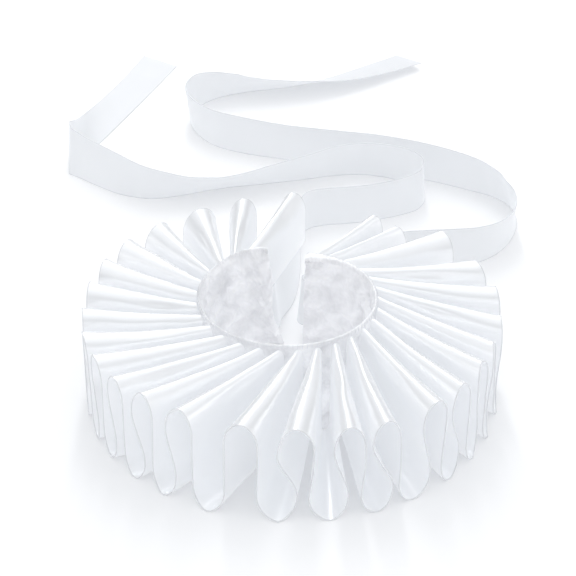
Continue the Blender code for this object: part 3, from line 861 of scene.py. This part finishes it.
RIGHT_TIE = [
    Station(0.0122, 0.0578, 0.017, -5),
    Station(0.0098, 0.0578, 0.017, -5),
    Station(0.0066, 0.0594, 0.017, -5),
    Station(0.0044, 0.0632, 0.017, -5),
    Station(0.0042, 0.0680, 0.017, -5),
    Station(0.0060, 0.0728, 0.016, -5),
    Station(0.0100, 0.0787, 0.014, -4),
    Station(0.0180, 0.0900, 0.009, -2),
    Station(0.0320, 0.1130, 0.001, 0),
    Station(0.0480, 0.1350, 0.000, 0),
    Station(0.0660, 0.1510, 0.000, 0),
    Station(0.0900, 0.1600, 0.000, 0),
    Station(0.1140, 0.1640, 0.000, -1),
    Station(0.1350, 0.1672, 0.000, -3),
    Station(0.1560, 0.1740, 0.000, -8),
    Station(0.1740, 0.1866, 0.000, -11),
    Station(0.1880, 0.2050, 0.000, -7),
    Station(0.1966, 0.2254, 0.000, 4),
    Station(0.2005, 0.2470, 0.000, 16),
    Station(0.1967, 0.2696, 0.000, 19),
    Station(0.1840, 0.2860, 0.000, 17),
    Station(0.1647, 0.2973, 0.000, 10),
    Station(0.1245, 0.3173, 0.000, 5),
    Station(0.0820, 0.3320, 0.000, 3),
    Station(0.0390, 0.3440, 0.000, 6),
    Station(-0.0050, 0.3560, 0.000, 8),
    Station(-0.0480, 0.3690, 0.000, 4),
    Station(-0.0740, 0.3835, 0.000, 5),
    Station(-0.0905, 0.4050, 0.000, 7),
    Station(-0.0990, 0.4300, 0.000, 6),
    Station(-0.0965, 0.4560, 0.000, -4),
    Station(-0.0825, 0.4762, 0.000, -22),
    Station(-0.0640, 0.4890, 0.000, -34),
    Station(-0.0440, 0.4965, 0.000, -44),
    Station(0.0000, 0.5085, 0.000, -57),
    Station(0.0390, 0.5276, 0.000, -70),
    Station(0.0760, 0.5534, 0.000, -77),
    Station(0.1120, 0.5800, 0.000, -80),
]

# The left tie's tail, from its crease: lines across the ribbon, from its lower edge to its upper edge
Ruling = namedtuple("Ruling", "low_x low_y low_z high_x high_y high_z")
LEFT_TIE_FOLD = [
    Ruling(-0.2045, 0.3260, 0.0005, -0.2060, 0.3490, 0.0375),
    Ruling(-0.2080, 0.3290, 0.0005, -0.2085, 0.3610, 0.0375),
    Ruling(-0.2078, 0.3320, 0.0005, -0.2088, 0.3650, 0.0360),
    Ruling(-0.2000, 0.3500, 0.0005, -0.2055, 0.3850, 0.0270),
    Ruling(-0.1800, 0.3998, 0.0005, -0.2010, 0.4310, 0.0110),
    Ruling(-0.1600, 0.4500, 0.0005, -0.1890, 0.4770, 0.0030),
    Ruling(-0.1400, 0.5015, 0.0005, -0.1725, 0.5260, 0.0005),
    Ruling(-0.1202, 0.5543, 0.0005, -0.1553, 0.5786, 0.0005),
]


def smooth_curve(points, step):
    """Points about one step apart on a smooth curve through the given ones."""
    points = np.array(points, float)
    ends = [2 * points[0] - points[1], *points, 2 * points[-1] - points[-2]]
    curve = []
    for a, b, c, d in zip(ends, ends[1:], ends[2:], ends[3:]):
        t1 = np.linalg.norm((b - a)[:3]) ** 0.5
        t2 = t1 + np.linalg.norm((c - b)[:3]) ** 0.5
        t3 = t2 + np.linalg.norm((d - c)[:3]) ** 0.5
        count = max(1, round(np.linalg.norm((c - b)[:3]) / step))
        for t in np.linspace(t1, t2, count, endpoint=False):
            ab = a + (b - a) * t / t1
            bc = b + (c - b) * (t - t1) / (t2 - t1)
            cd = c + (d - c) * (t - t2) / (t3 - t2)
            abc = ab + (bc - ab) * t / t2
            bcd = bc + (cd - bc) * (t - t1) / (t3 - t1)
            curve.append(abc + (bcd - abc) * (t - t1) / (t2 - t1))
    curve.append(points[-1])
    return np.array(curve)


def standing_rulings(stations):
    """Lines across a ribbon that stands on its lower edge, each a (low point, high point) pair."""
    curve = smooth_curve([tuple(station) for station in stations], RIBBON_STEP)
    rulings = []
    for index, (x, y, z, lean) in enumerate(curve):
        before = curve[max(index - 1, 0)]
        after = curve[min(index + 1, len(curve) - 1)]
        way = (after - before)[:2]
        way /= np.linalg.norm(way)
        left = np.array([-way[1], way[0]])
        low = np.array([x, y, max(z, RIBBON_CLOTH / 2)])
        rise = np.array([*(left * sin(radians(lean))), cos(radians(lean))])
        rulings.append((low, low + rise * RIBBON_WIDTH))
    return rulings


# Painted light: the ribbons take most of their brightness from their glow, which evens out their shade
ribbon_satin = satin(
    "ribbon_satin",
    light_tone=(0.32, 0.325, 0.335, 1.0),
    dark_tone_and_shade=(0.29, 0.295, 0.305, 1.0),
    sheen=0.10,
    gloss=0.48,
    dull=0.56,
    anisotropy=0.6,
    painted_glow=0.45,
)
# Painted shade: the selvedges are a darker copy of the ribbon's satin, so they read as thin grey lines along
# the ribbons' edges
shaded_selvedge_satin = satin(
    "shaded_selvedge_satin",
    light_tone=(0.50, 0.51, 0.53, 1.0),
    dark_tone_and_shade=(0.44, 0.45, 0.47, 1.0),
    sheen=0.10,
    gloss=0.45,
    dull=0.55,
    anisotropy=0.0,
    painted_glow=0.18,
)


def ribbon(name, rulings):
    """A ribbon through the rulings, with a firm selvedge along both long edges."""
    rows = np.array([
        [mix(low, high, part / RIBBON_ACROSS) for part in range(RIBBON_ACROSS + 1)] for low, high in rulings
    ])
    rows[:, :, 2] = np.maximum(rows[:, :, 2], SELVEDGE)
    tie = shell(name, on_table(rows), RIBBON_CLOTH, ribbon_satin)
    edges = [on_table(rows[:, 0]), on_table(rows[:, -1])]
    selvedges = thread(name + "_selvedges", edges, SELVEDGE, shaded_selvedge_satin)
    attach(tie, "root")
    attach(selvedges, "root")
    return tie


left_rulings = standing_rulings(LEFT_TIE_STANDING)
left_fold = smooth_curve([tuple(ruling) for ruling in LEFT_TIE_FOLD], RIBBON_STEP)
left_rulings += [(ruling[:3], ruling[3:]) for ruling in left_fold]
left_tie = ribbon("left_tie", left_rulings)
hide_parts("ribbon_tie_left")
right_tie = ribbon("right_tie", standing_rulings(RIGHT_TIE))
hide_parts("ribbon_tie_right")
